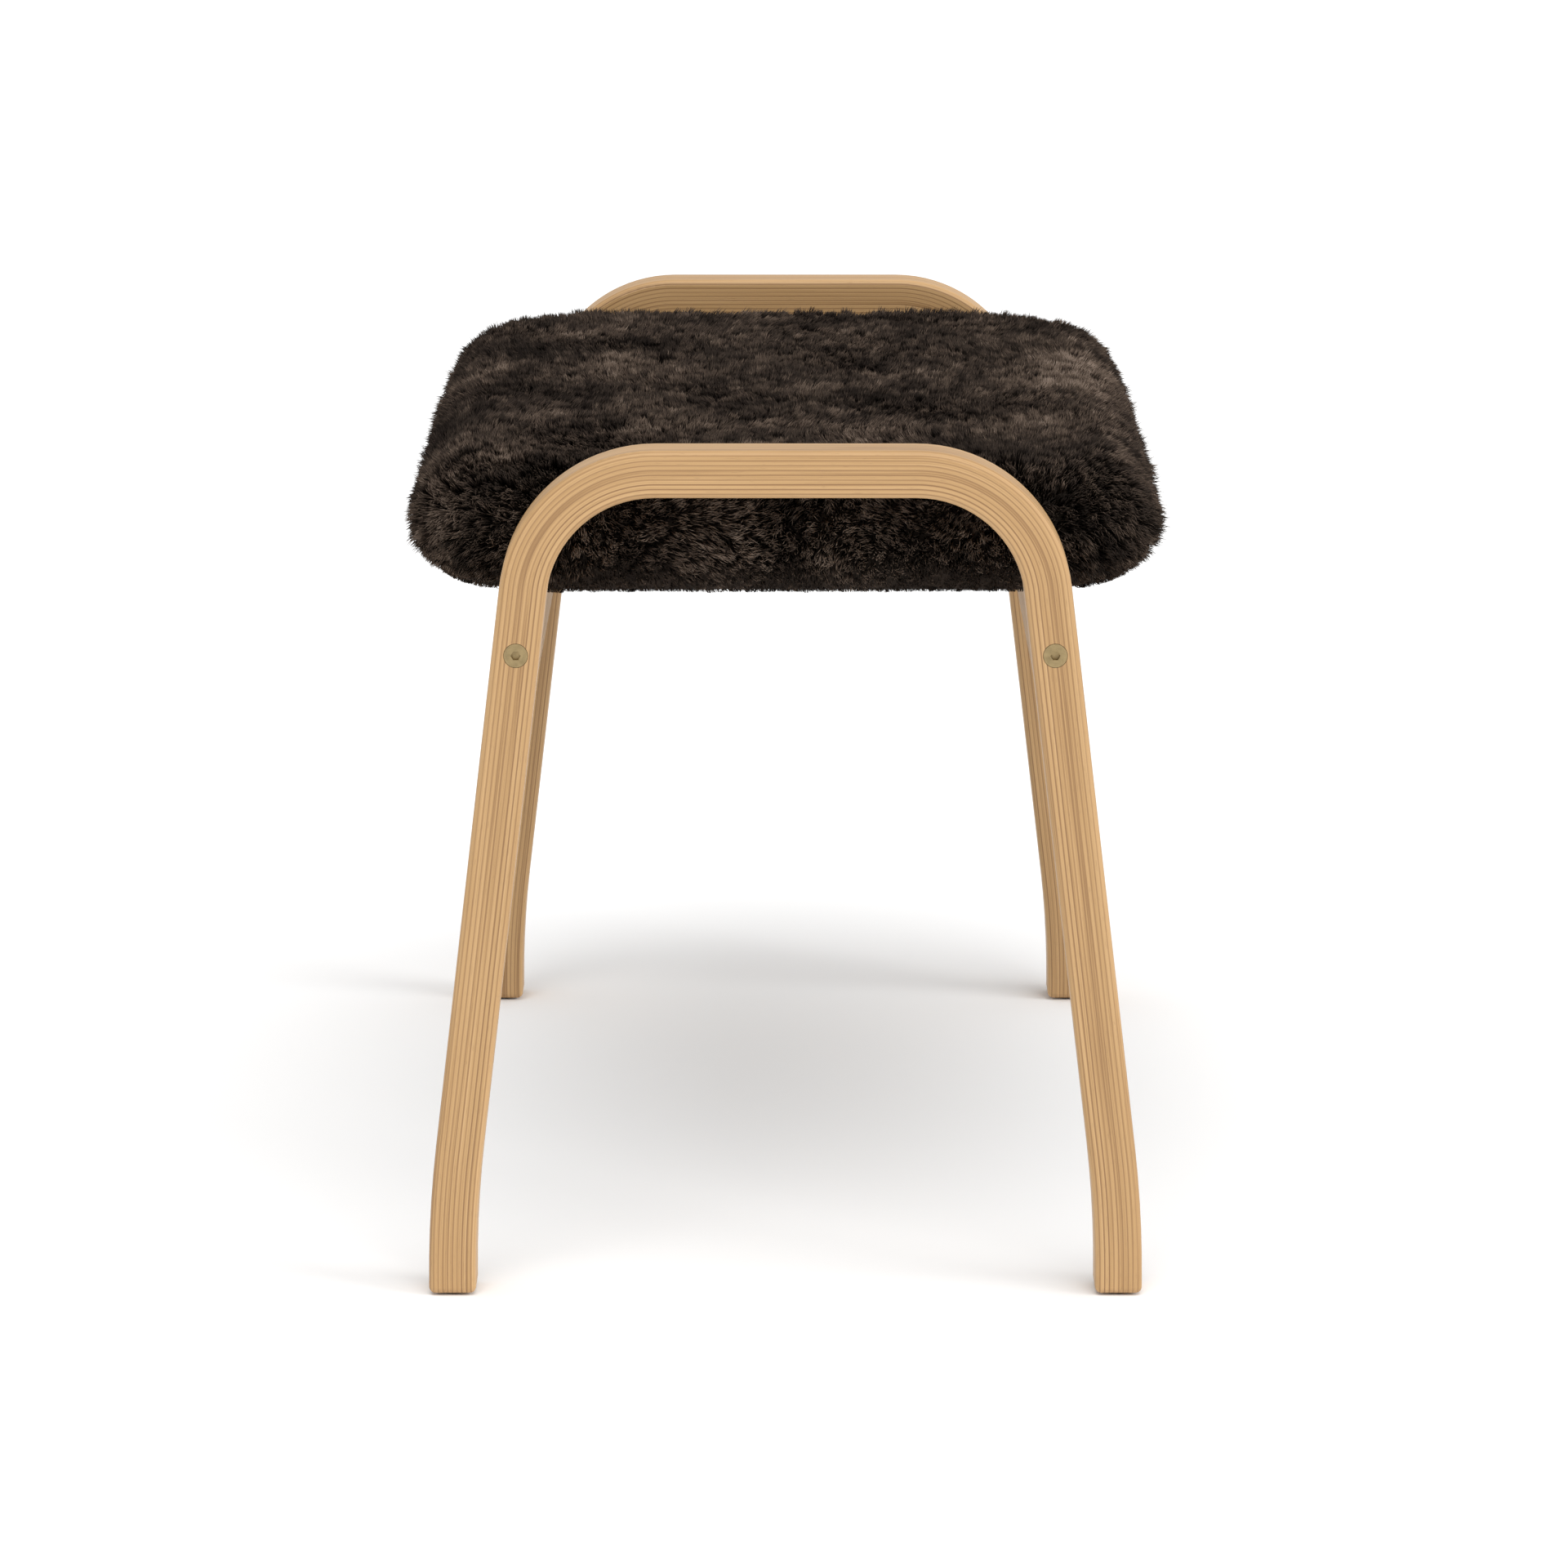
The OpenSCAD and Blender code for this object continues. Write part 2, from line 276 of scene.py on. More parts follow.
def strip_coordinates(s):
    """(along, through) of the bent strip in metres: length from the middle of its top, and depth
    from its centreline. Top, shoulder, leg and knee each have their own rule."""
    x, _, z = s.object_xyz()
    beyond = s.math("SUBTRACT", s.math("ABSOLUTE", x), TOP_HALF)
    above = s.math("SUBTRACT", z, SHOULDER_Z)
    sin, cos = math.sin(SPLAY), math.cos(SPLAY)
    out = s.math("ADD", s.math("MULTIPLY", beyond, cos), s.math("MULTIPLY", above, sin))
    up = s.math("SUBTRACT", s.math("MULTIPLY", above, cos), s.math("MULTIPLY", beyond, sin))
    knee_out = s.math("ADD", out, KNEE_IN)
    knee_up = s.math("ADD", up, LEG_LEN)
    leg_start = TOP_HALF + SHOULDER_R * (math.pi / 2 - SPLAY)

    def radius(a, b):
        return s.math("SQRT", s.math("ADD", s.math("MULTIPLY", a, a), s.math("MULTIPLY", b, b)))

    turn = s.math("ARCTAN2", beyond, above)
    knee_turn = s.math("ARCTAN2", s.math("MULTIPLY", knee_up, -1.0), knee_out)
    stretches = (
        (s.math("LESS_THAN", beyond, 0.0), s.math("ADD", beyond, TOP_HALF),
         s.math("SUBTRACT", above, SHOULDER_R)),
        (s.math("LESS_THAN", up, 0.0), s.math("SUBTRACT", leg_start, up),
         s.math("SUBTRACT", out, SHOULDER_R)),
        (s.math("LESS_THAN", knee_up, 0.0),
         s.math("MULTIPLY_ADD", knee_turn, KNEE_R, leg_start + LEG_LEN),
         s.math("SUBTRACT", radius(knee_out, knee_up), KNEE_R)),
    )
    along = s.math("MULTIPLY_ADD", turn, SHOULDER_R, TOP_HALF)
    through = s.math("SUBTRACT", radius(beyond, above), SHOULDER_R)
    for here, stretch_along, stretch_through in stretches:
        along = s.pick(here, along, stretch_along)
        through = s.pick(here, through, stretch_through)
    return along, through


def grain(s, along, across, through, seed):
    """Wood's (streaks, pores, figure), each 0 to 1, in a piece's own directions."""
    streaks = s.noise(s.vector(s.math("MULTIPLY", along, 9.0), s.math("MULTIPLY_ADD", across, 950.0, seed),
                               s.math("MULTIPLY", through, 2300.0)), 1.0, 3.0, 0.6)
    pores = s.noise(s.vector(s.math("MULTIPLY", along, 160.0), s.math("MULTIPLY_ADD", across, 3200.0, seed),
                             s.math("MULTIPLY", through, 3600.0)), 1.0, 1.0, 0.5)
    figure = s.noise(s.vector(s.math("MULTIPLY", along, 5.0), s.math("MULTIPLY_ADD", across, 120.0, seed),
                              s.math("MULTIPLY", through, 200.0)), 1.0, 2.0, 0.5, 0.6)
    return streaks, pores, figure


def laminated_oak():
    """Bent strip of ten veneers: fine dark joints that follow the bends, each veneer its own tone."""
    s = Shader("laminated_oak", specular=0.5)
    along, through = strip_coordinates(s)
    x, y, z = s.object_xyz()
    wander = s.noise(s.vector(s.math("MULTIPLY", along, 14.0), y, z), 1.0, 1.0)
    depth = s.math("MULTIPLY_ADD", s.math("SUBTRACT", wander, 0.5), 0.10,
                   s.math("DIVIDE", s.math("ADD", through, STRIP_T / 2), PLY_T))
    face = 0.3                                  # a face shows the outermost veneer, not a joint
    depth = s.math("MINIMUM", s.math("MAXIMUM", depth, face), PLY_COUNT - face)
    layer = s.math("FLOOR", depth)
    edge = s.math("PINGPONG", depth, 0.5)
    side = s.math("MULTIPLY", s.math("SIGN", y), 3.0)
    along = s.math("MULTIPLY", along, s.math("SIGN", x))
    tone = s.white(s.vector(layer, side, 1.0))
    joint_tone = s.white(s.vector(s.math("ROUND", depth), side, 5.0))
    seed = s.math("MULTIPLY_ADD", layer, 11.3, side)
    streaks, pores, figure = grain(s, along, y, through, seed)
    value = s.math("MULTIPLY_ADD", s.math("SUBTRACT", tone, 0.5), 0.17,
                   s.math("MULTIPLY_ADD", s.math("SUBTRACT", streaks, 0.5), 1.05,
                          s.math("MULTIPLY_ADD", s.math("SUBTRACT", figure, 0.5), 0.7, 0.5)))
    colour = s.ramp(value, (0.05, OAK_DARK), (0.45, OAK_MID), (0.85, OAK_LIGHT))
    joint = s.math("MULTIPLY", s.math("SUBTRACT", 1.0, s.smooth(edge, 0.04, 0.23)),
                   s.math("MULTIPLY_ADD", joint_tone, 0.50, 0.48))
    colour = s.mix(joint, colour, GLUE_LINE)
    pore = s.math("MULTIPLY", s.smooth(pores, 0.66, 0.76), 0.45)
    colour = s.mix(pore, colour, OAK_PORE)
    rough = s.math("MULTIPLY_ADD", streaks, 0.16, 0.40)
    height = s.math("SUBTRACT", s.math("MULTIPLY", streaks, 0.35),
                    s.math("ADD", s.math("MULTIPLY", joint, 0.5), pore))
    return s.finish(colour, rough, s.bump(height, WOOD_RELIEF, 0.7))


def straight_wood(name, tones, pore_colour):
    """Straight-grained wood for rails and dowels, which run along Y; tones run dark, mid, light."""
    s = Shader(name, specular=0.3)
    x, y, z = s.object_xyz()
    streaks, pores, figure = grain(s, y, x, z, s.math("MULTIPLY", s.math("SIGN", x), 4.0))
    value = s.math("MULTIPLY_ADD", s.math("SUBTRACT", figure, 0.5), 0.9,
                   s.math("MULTIPLY_ADD", s.math("SUBTRACT", streaks, 0.5), 1.5, 0.55))
    colour = s.ramp(value, (0.10, tones[0]), (0.45, tones[1]), (0.85, tones[2]))
    pore = s.math("MULTIPLY", s.smooth(pores, 0.64, 0.74), 0.5)
    colour = s.mix(pore, colour, pore_colour)
    height = s.math("SUBTRACT", s.math("MULTIPLY", streaks, 0.4), pore)
    rough = s.math("MULTIPLY_ADD", streaks, 0.15, 0.5)
    return s.finish(colour, rough, s.bump(height, WOOD_RELIEF, 0.7))


def plywood():
    """Birch plywood: plies show as bands on the edges, flat grain on the faces."""
    s = Shader("birch_plywood", specular=0.25)
    x, y, z = s.object_xyz()
    veneer = 1.5 * MM
    ply = s.math("DIVIDE", s.math("SUBTRACT", z, BOARD_LOW.z), veneer)
    turned = s.math("GREATER_THAN", s.math("FRACT", s.math("MULTIPLY", s.math("FLOOR", ply), 0.5)), 0.25)
    streaks, pores, figure = grain(s, y, x, z, s.math("FLOOR", ply))
    band = s.math("MULTIPLY", turned, 0.22)
    value = s.math("SUBTRACT", s.math("MULTIPLY_ADD", s.math("SUBTRACT", figure, 0.5), 0.8, streaks), band)
    colour = s.ramp(value, (0.1, (0.36, 0.23, 0.12)), (0.5, (0.62, 0.46, 0.28)), (0.9, (0.74, 0.59, 0.40)))
    return s.finish(colour, s.math("MULTIPLY_ADD", streaks, 0.2, 0.5), s.bump(streaks, 0.1 * MM, 0.6))


# ---------- Metal and plastic ----------

def metal(name, colour, rough):
    """Drawn metal: fine marks along Y, light tarnish in patches."""
    s = Shader(name, metallic=1.0)
    x, y, z = s.object_xyz()
    brushed = 900.0
    tarnish = s.noise(s.vector(x, y, z), 260.0, 3.0, 0.6)
    marks = s.noise(s.vector(s.math("MULTIPLY", x, brushed), s.math("MULTIPLY", y, 60.0),
                             s.math("MULTIPLY", z, brushed)), 1.0, 2.0)
    darker = tuple(0.72 * c for c in colour)
    shade = s.mix(s.smooth(tarnish, 0.35, 0.75), colour, darker)
    return s.finish(shade, s.math("MULTIPLY_ADD", marks, 0.22, rough), s.bump(marks, 0.03 * MM, 0.5))


def nylon():
    """Moulded nylon with a fine grained face, scuffed where it slides on the floor."""
    s = Shader("glide_nylon", specular=0.4)
    x, y, z = s.object_xyz()
    speckle = s.noise(s.vector(x, y, z), 2200.0, 2.0)
    scuff = s.noise(s.vector(s.math("MULTIPLY", x, 900.0), s.math("MULTIPLY", y, 90.0), z), 1.0, 2.0)
    colour = s.mix(s.smooth(scuff, 0.55, 0.8), (0.040, 0.030, 0.024), (0.085, 0.068, 0.055))
    return s.finish(colour, s.math("MULTIPLY_ADD", speckle, 0.2, 0.45), s.bump(speckle, 0.1 * MM, 0.5))


def dress_frame():
    """Every CAD node that stays in sight, or stays inside the stool, gets its material."""
    dress(laminated_oak(), "front_leg_frame", "rear_leg_frame")
    dress(straight_wood("rail_oak", (OAK_DARK, OAK_MID, OAK_LIGHT), OAK_PORE),
          "left_side_rail", "right_side_rail")
    dress(straight_wood("beech_dowel", ((0.50, 0.33, 0.18), (0.66, 0.47, 0.28), (0.76, 0.58, 0.38)),
                        (0.40, 0.25, 0.13)), "locating_dowels")
    dress(plywood(), "seat_board")
    dress(metal("aged_brass", (0.40, 0.30, 0.155), 0.32), "frame_bolts")
    dress(metal("zinc_steel", (0.60, 0.61, 0.63), 0.28), "barrel_nuts", "rail_screws")
    dress(metal("staple_steel", (0.55, 0.55, 0.56), 0.35), "cover_staples", "dust_cover_staples")
    dress(nylon(), "front_left_glide", "front_right_glide", "rear_left_glide", "rear_right_glide")


# ---------- Lofted soft forms ----------

CORNER_STEPS, LONG_STEPS, SHORT_STEPS = 14, 40, 26
AROUND = 4 * CORNER_STEPS + 2 * LONG_STEPS + 2 * SHORT_STEPS
LEAST_CORNER = 2 * MM


def plan_ring(half_x, half_y, corner):
    """Points of a rounded rectangle, anticlockwise; every ring has the same count, in the same order."""
    points = []
    inner_x, inner_y = half_x - corner, half_y - corner
    turns = ((1, -1, 270, LONG_STEPS), (1, 1, 0, SHORT_STEPS), (-1, 1, 90, LONG_STEPS),
             (-1, -1, 180, SHORT_STEPS))
    for i, (sx, sy, start, steps) in enumerate(turns):
        middle = np.array((sx * inner_x, sy * inner_y))
        angles = np.radians(start + 90 * np.arange(CORNER_STEPS + 1) / CORNER_STEPS)
        bend = middle + corner * np.stack((np.cos(angles), np.sin(angles)), 1)
        following = turns[(i + 1) % 4]
        far = np.array((following[0] * inner_x, following[1] * inner_y))
        out = corner * np.array((math.cos(angles[-1]), math.sin(angles[-1])))
        share = np.arange(1, steps)[:, None] / steps
        points += [bend, middle + out + (far - middle) * share]
    return np.concatenate(points)


def loft(rings):
    """(points, quads and end triangles) of a closed form through rings of (half x, half y, corner, z)."""
    points = [np.column_stack((plan_ring(hx, hy, r), np.full(AROUND, z))) for hx, hy, r, z in rings]
    ends = [(0.0, 0.0, rings[0][3]), (0.0, 0.0, rings[-1][3])]
    points = np.concatenate(points + [np.array(ends)])
    k = np.arange(AROUND)
    after = (k + 1) % AROUND
    faces = []
    for i in range(len(rings) - 1):
        low, high = i * AROUND, (i + 1) * AROUND
        faces += np.stack((low + k, high + k, high + after, low + after), 1).tolist()
    last, first_end = (len(rings) - 1) * AROUND, len(rings) * AROUND
    faces += np.stack((np.full(AROUND, first_end), k, after), 1).tolist()
    faces += np.stack((np.full(AROUND, first_end + 1), last + after, last + k), 1).tolist()
    return points, faces


def roll(outer_x, outer_y, corner, z_side, z_face, inset, steps, downward=False, tighten=1.0):
    """Rings of a quarter roll between a side and a face, from the face to the side. tighten is how
    much of each ring's inset its corner radius loses."""
    rings = []
    for i in range(steps + 1):
        a = math.radians(90 * i / steps)
        back = inset * (1 - math.sin(a))
        rings.append((outer_x - back, outer_y - back, max(corner - tighten * back, LEAST_CORNER),
                      z_side + (z_face - z_side) * math.cos(a)))
    return rings[::-1] if downward else rings


def face_rings(outer_x, outer_y, corner, z, steps):
    """Rings of a flat face, from near its middle to its edge."""
    deepest = outer_x - 4 * MM
    depths = deepest * (1 - np.arange(steps) / steps)
    return [(outer_x - d, outer_y - d, max(corner - d, LEAST_CORNER), z) for d in depths]


def place_piece(name, mesh, replaced):
    """Puts a mesh in the scene as a piece that stands for a CAD node."""
    piece = bpy.data.objects.new(name, mesh)
    bpy.context.scene.collection.objects.link(piece)
    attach(piece, BODY)
    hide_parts(replaced)
    return piece


def shade_smooth(mesh):
    mesh.polygons.foreach_set("use_smooth", np.ones(len(mesh.polygons), bool))


def new_piece(name, points, faces, material, replaced):
    mesh = bpy.data.meshes.new(name)
    mesh.from_pydata([tuple(p) for p in points], [], faces)
    mesh.materials.append(material)
    shade_smooth(mesh)
    return place_piece(name, mesh, replaced)


class Waves:
    """A smooth random field: the sum of seeded sine waves of the given lengths, about -1 to 1."""

    def __init__(self, rng, count, shortest, longest):
        length = np.exp(rng.uniform(math.log(shortest), math.log(longest), count))
        way = rng.normal(size=(count, 3))
        self.k = way / np.linalg.norm(way, axis=1)[:, None] * (2 * math.pi / length)[:, None]
        self.phase = rng.uniform(0, 2 * math.pi, count)

    def __call__(self, points):
        return np.sin(points @ self.k.T + self.phase).sum(1) / math.sqrt(len(self.phase) * 2.2)


# ---------- The sheepskin's hide ----------

PILE_LONG, PILE_SHORT = 9.0 * MM, 1.6 * MM      # pile height on top and sides, and clipped underneath
HIDE_X, HIDE_Y = SEAT_HIGH.x - PILE_LONG, SEAT_HIGH.y - PILE_LONG
HIDE_TOP = SEAT_HIGH.z - PILE_LONG - 1.0 * MM   # the crown adds 1 mm in the middle
HIDE_CORNER = CORNER_R - PILE_LONG
SIDE_TOP, SIDE_BOTTOM = SEAT_HIGH.z - TOP_ROLL, SEAT_LOW.z + BOTTOM_ROLL
FLAP_Z, FLAP_TOP = SEAT_LOW.z + 1.0 * MM, BOARD_LOW.z - 0.1 * MM
OPENING_X, OPENING_Y, OPENING_R = 131 * MM, 222.5 * MM, 12 * MM
BOTTOM_INSET = 12 * MM                          # the hide turns tightly round the board's edge
CROWN = 1.0 * MM
FOAM_ROLL, WADDING_ROLL = 16 * MM, 20 * MM      # how round the upper edges are inside the hide
WADDING_SIDE = 4.0 * MM                         # the wadding's thickness beside the foam
GAP = 0.1 * MM                                  # between soft layers, so that their faces never meet


def hide_rings():
    """The hide from the middle of the top, over the roll, down the side and in to the flap's edge."""
    top_inset = TOP_ROLL - PILE_LONG
    rings = face_rings(HIDE_X - top_inset, HIDE_Y - top_inset, HIDE_CORNER, HIDE_TOP, 14)
    rings += roll(HIDE_X, HIDE_Y, HIDE_CORNER, SIDE_TOP, HIDE_TOP, top_inset, 9, tighten=0.0)
    rings += roll(HIDE_X, HIDE_Y, HIDE_CORNER, SIDE_BOTTOM, FLAP_Z, BOTTOM_INSET, 9, downward=True)
    x, y, corner, _ = rings[-1]
    for share in (0.25, 0.5, 0.75, 1.0):
        rings.append((x + (OPENING_X - x) * share, y + (OPENING_Y - y) * share,
                      corner + (OPENING_R - corner) * share, FLAP_Z))
    return rings


def core_rings(grow, top_z, corner_roll):
    """The foam's or wadding's outside, from the middle of its top to its lower edge."""
    x, y, corner = BOARD_HIGH.x + grow, BOARD_HIGH.y + grow, BOARD_CORNER_R + grow
    top = face_rings(x - corner_roll, y - corner_roll, corner - corner_roll, top_z, 10)
    return top + roll(x, y, corner, top_z - corner_roll, top_z, corner_roll, 6)


def crowned(points):
    """Lifts the upper side of a form into a low crown that dies away at the edges."""
    x, y = points[:, 0] / SEAT_HIGH.x, points[:, 1] / SEAT_HIGH.y
    dome = np.clip(1 - x ** 2, 0, 1) * np.clip(1 - y ** 4, 0, 1)
    high = np.clip((points[:, 2] - FOAM_LOW.z) / (HIDE_TOP - FOAM_LOW.z), 0, 1)
    lifted = points.copy()
    lifted[:, 2] += CROWN * dome * high
    return lifted


def cut_for_rails(piece):
    """Cuts the flap and the lower roll clear of the two rails that run through them."""
    gap = 1.5 * MM
    for side in (-1, 1):
        low = (RAIL_LOW.x - gap, RAIL_LOW.y - 5 * MM, SEAT_LOW.z - 10 * MM)
        high = (RAIL_HIGH.x + gap, RAIL_HIGH.y + 5 * MM, RAIL_HIGH.z - 0.05 * MM)
        corners = [(side * x, y, z) for x in (low[0], high[0]) for y in (low[1], high[1])
                   for z in (low[2], high[2])]
        sides = [(0, 1, 3, 2), (4, 6, 7, 5), (0, 4, 5, 1), (2, 3, 7, 6), (0, 2, 6, 4), (1, 5, 7, 3)]
        if side < 0:
            sides = [face[::-1] for face in sides]
        mesh = bpy.data.meshes.new("rail_cut")
        mesh.from_pydata(corners, [], sides)
        cutter = bpy.data.objects.new("rail_cut", mesh)
        bpy.context.scene.collection.objects.link(cutter)
        cut = piece.modifiers.new("cut", "BOOLEAN")
        cut.object, cut.operation, cut.solver = cutter, "DIFFERENCE", "EXACT"
        evaluated = piece.evaluated_get(bpy.context.evaluated_depsgraph_get())
        result = bpy.data.meshes.new_from_object(evaluated)
        piece.modifiers.clear()
        piece.data = result
        bpy.data.objects.remove(cutter)


def hide_material():
    """Dyed hide between the fibres: near-black brown, mottled, with a felted surface."""
    s = Shader("dyed_hide", roughness=0.9, specular=0.1)
    x, y, z = s.object_xyz()
    place = s.vector(x, y, z)
    mottle = s.noise(place, 60.0, 3.0, 0.6)
    felt = s.noise(place, 1400.0, 2.0, 0.6)
    colour = s.ramp(s.math("MULTIPLY_ADD", s.math("SUBTRACT", felt, 0.5), 0.8, mottle),
                    (0.2, (0.012, 0.009, 0.007)), (0.8, (0.036, 0.026, 0.020)))
    return s.finish(colour, None, s.bump(felt, 0.4 * MM, 0.8))


def make_hide():
    """The hide as one closed shell round the wadding; returns the rings of its outer side."""
    outside = hide_rings()
    inside = core_rings(WADDING_SIDE + GAP, WADDING_HIGH.z + GAP, WADDING_ROLL)
    lower = (*inside[-1][:3], FLAP_TOP)
    lip = (OPENING_X, OPENING_Y, OPENING_R, FLAP_TOP)
    points, faces = loft(outside + [lip, lower] + inside[::-1])
    piece = new_piece("sheepskin_hide", crowned(points), faces, hide_material(),
                      "sheepskin_cover")
    cut_for_rails(piece)
    shade_smooth(piece.data)
    return outside


# ---------- The sheepskin's pile ----------

STRANDS = 300000
TUFTS = 15000
STRAND_WIDTH = 0.50 * MM
SIDE_GROWTH = 0.52                              # how much longer the pile stands on the sides
NAP, TUFT_NAP = 0.50, 0.55                      # how far single fibres and whole tufts lean with the nap
CLUMPING = 0.42                                 # how far a fibre's tip is drawn to its tuft's tip
LENGTH_WAVES = 0.10                             # how much the pile's length swells and dips
PILE_LIMIT_Y = LEG_HIGH.y - 26.3 * MM           # the pile lies against the leg frames and stops there
PER_PIECE = 19000                               # strands in one piece
PALETTE = ((0.0120, 0.0092, 0.0080), (0.0200, 0.0155, 0.0130), (0.0320, 0.0245, 0.0200),
           (0.0500, 0.0375, 0.0300), (0.0780, 0.0570, 0.0440), (0.1180, 0.0860, 0.0660),
           (0.1750, 0.1300, 0.1000), (0.2500, 0.1900, 0.1500))

# Painted sheen and painted shade on the pile: paler where the nap would catch the light, darker where
# strength is below 0: (x, y, reach x, reach y, strength)
PAINTED_SHEEN_PATCHES = ((0.148, 0.03, 0.028, 0.085, 3.2), (0.110, -0.155, 0.022, 0.035, 1.3),
                (-0.085, 0.03, 0.035, 0.035, 1.7), (-0.140, -0.215, 0.035, 0.035, 1.4),
                (0.03, -0.17, 0.04, 0.04, 0.8), (-0.02, -0.205, 0.06, 0.02, 0.8),
                (-0.04, 0.14, 0.025, 0.03, 0.6), (-0.172, -0.24, 0.03, 0.045, 1.8),
                (0.165, -0.25, 0.03, 0.04, 2.2), (0.0, -0.275, 0.07, 0.03, 1.5),
                (-0.13, -0.05, 0.04, 0.06, -0.9), (0.07, 0.02, 0.045, 0.06, -0.5))
END_PAINTED_LIGHT = 1.4                                  # painted light: how much paler the pile is painted on the two end faces


def in_outer_form(inset, z):
    """True where a point, this far in from the cushion's side, is inside the pile's outer form."""
    rise, fall = max(z - SIDE_TOP, 0), max(SIDE_BOTTOM - z, 0)
    if rise > 0:
        return math.hypot(max(TOP_ROLL - inset, 0), rise) <= TOP_ROLL
    return math.hypot(max(BOTTOM_ROLL - inset, 0), fall) <= BOTTOM_ROLL and inset >= 0


def reach_of(rings, i):
    """The pile's height on one ring: from the hide out to the cushion's outer form."""
    before, after = rings[max(i - 1, 0)], rings[min(i + 1, len(rings) - 1)]
    run, climb = after[0] - before[0], after[3] - before[3]
    size = math.hypot(run, climb)
    out, up = -climb / size, run / size
    inset, z = SEAT_HIGH.x - rings[i][0], rings[i][3]
    reach = 0.0
    while reach < PILE_LONG and in_outer_form(inset - reach * out, z + reach * up):
        reach += 0.2 * MM
    return max(reach, PILE_SHORT)


def triangles_of(outside):
    """The hide's outer side as triangles, with the pile's height at each corner."""
    points, faces = loft(outside)
    height = np.repeat([reach_of(outside, i) for i in range(len(outside))], AROUND)
    height = np.concatenate((height, (PILE_LONG, PILE_SHORT)))
    end_cap = len(points) - 1
    triangles = []
    for face in faces:
        if end_cap in face:
            continue
        triangles.append(face[:3])
        if len(face) == 4:
            triangles.append((face[0], face[2], face[3]))
    return crowned(points), np.array(triangles), height


def scatter(rng, count, surface):
    """Seeded points spread evenly over the surface: (places, normals, pile heights)."""
    points, triangles, height = surface
    a, b, c = (points[triangles[:, i]] for i in range(3))
    normal = np.cross(b - a, c - a)
    area = np.linalg.norm(normal, axis=1)
    chosen = rng.choice(len(triangles), count, p=area / area.sum())
    u, v = rng.random(count), rng.random(count)
    over = u + v > 1
    u[over], v[over] = 1 - u[over], 1 - v[over]
    w = 1 - u - v
    smooth = smooth_normals(points, triangles, normal)
    corner = triangles[chosen]

    def blend(values):
        weights = (w, u, v) if values.ndim == 1 else (w[:, None], u[:, None], v[:, None])
        return sum(weight * values[corner[:, i]] for i, weight in enumerate(weights))

    way = blend(smooth)
    return blend(points), way / np.linalg.norm(way, axis=1)[:, None], blend(height)


def smooth_normals(points, triangles, normal):
    total = np.zeros_like(points)
    for i in range(3):
        np.add.at(total, triangles[:, i], normal)
    return total / np.maximum(np.linalg.norm(total, axis=1), 1e-12)[:, None]


def clear_of_rails(place):
    """True where a fibre's foot isn't inside a rail's notch."""
    across = np.abs(place[:, 0])
    inside = (across > RAIL_LOW.x - 3 * MM) & (across < RAIL_HIGH.x + 3 * MM)
    return ~(inside & (place[:, 2] < RAIL_HIGH.z + 0.4 * MM))


def rest_on_rails(part):
    """Fibres that reach down over a rail lie on its top."""
    across = np.abs(part[:, 0])
    over = (across > RAIL_LOW.x - 1 * MM) & (across < RAIL_HIGH.x + 1 * MM)
    part[over, 2] = np.maximum(part[over, 2], RAIL_HIGH.z + 0.2 * MM)


def lean_of(rng, place, normal):
    """Which way the nap lies at each point: a steady run along the seat that swirls here and there."""
    swirl = [Waves(rng, 14, 0.05, 0.22) for _ in range(3)]
    way = np.stack([wave(place) for wave in swirl], 1) + np.array((0.25, -0.45, -0.25))
    return way - normal * (way * normal).sum(1)[:, None]


def tone_of(rng, place, normal):
    """How pale the pile is, as a place on the palette: random tone, with painted sheen and shade patches
    and painted light on the end faces.
    """
    broad, fine = Waves(rng, 18, 0.045, 0.16), Waves(rng, 22, 0.010, 0.035)
    tone = 3.12 + 1.2 * broad(place) + 0.9 * fine(place)
    # painted sheen and shade: the patches count more on faces that look up
    up = np.clip(normal[:, 2], 0, 1)
    for x, y, reach_x, reach_y, strength in PAINTED_SHEEN_PATCHES:
        near = np.exp(-((place[:, 0] - x) / reach_x) ** 2 - ((place[:, 1] - y) / reach_y) ** 2)
        tone += strength * near * (0.5 + 0.5 * up)
    # painted light: the end faces are made paler than the rest of the pile
    return tone + END_PAINTED_LIGHT * np.abs(normal[:, 1]) ** 2


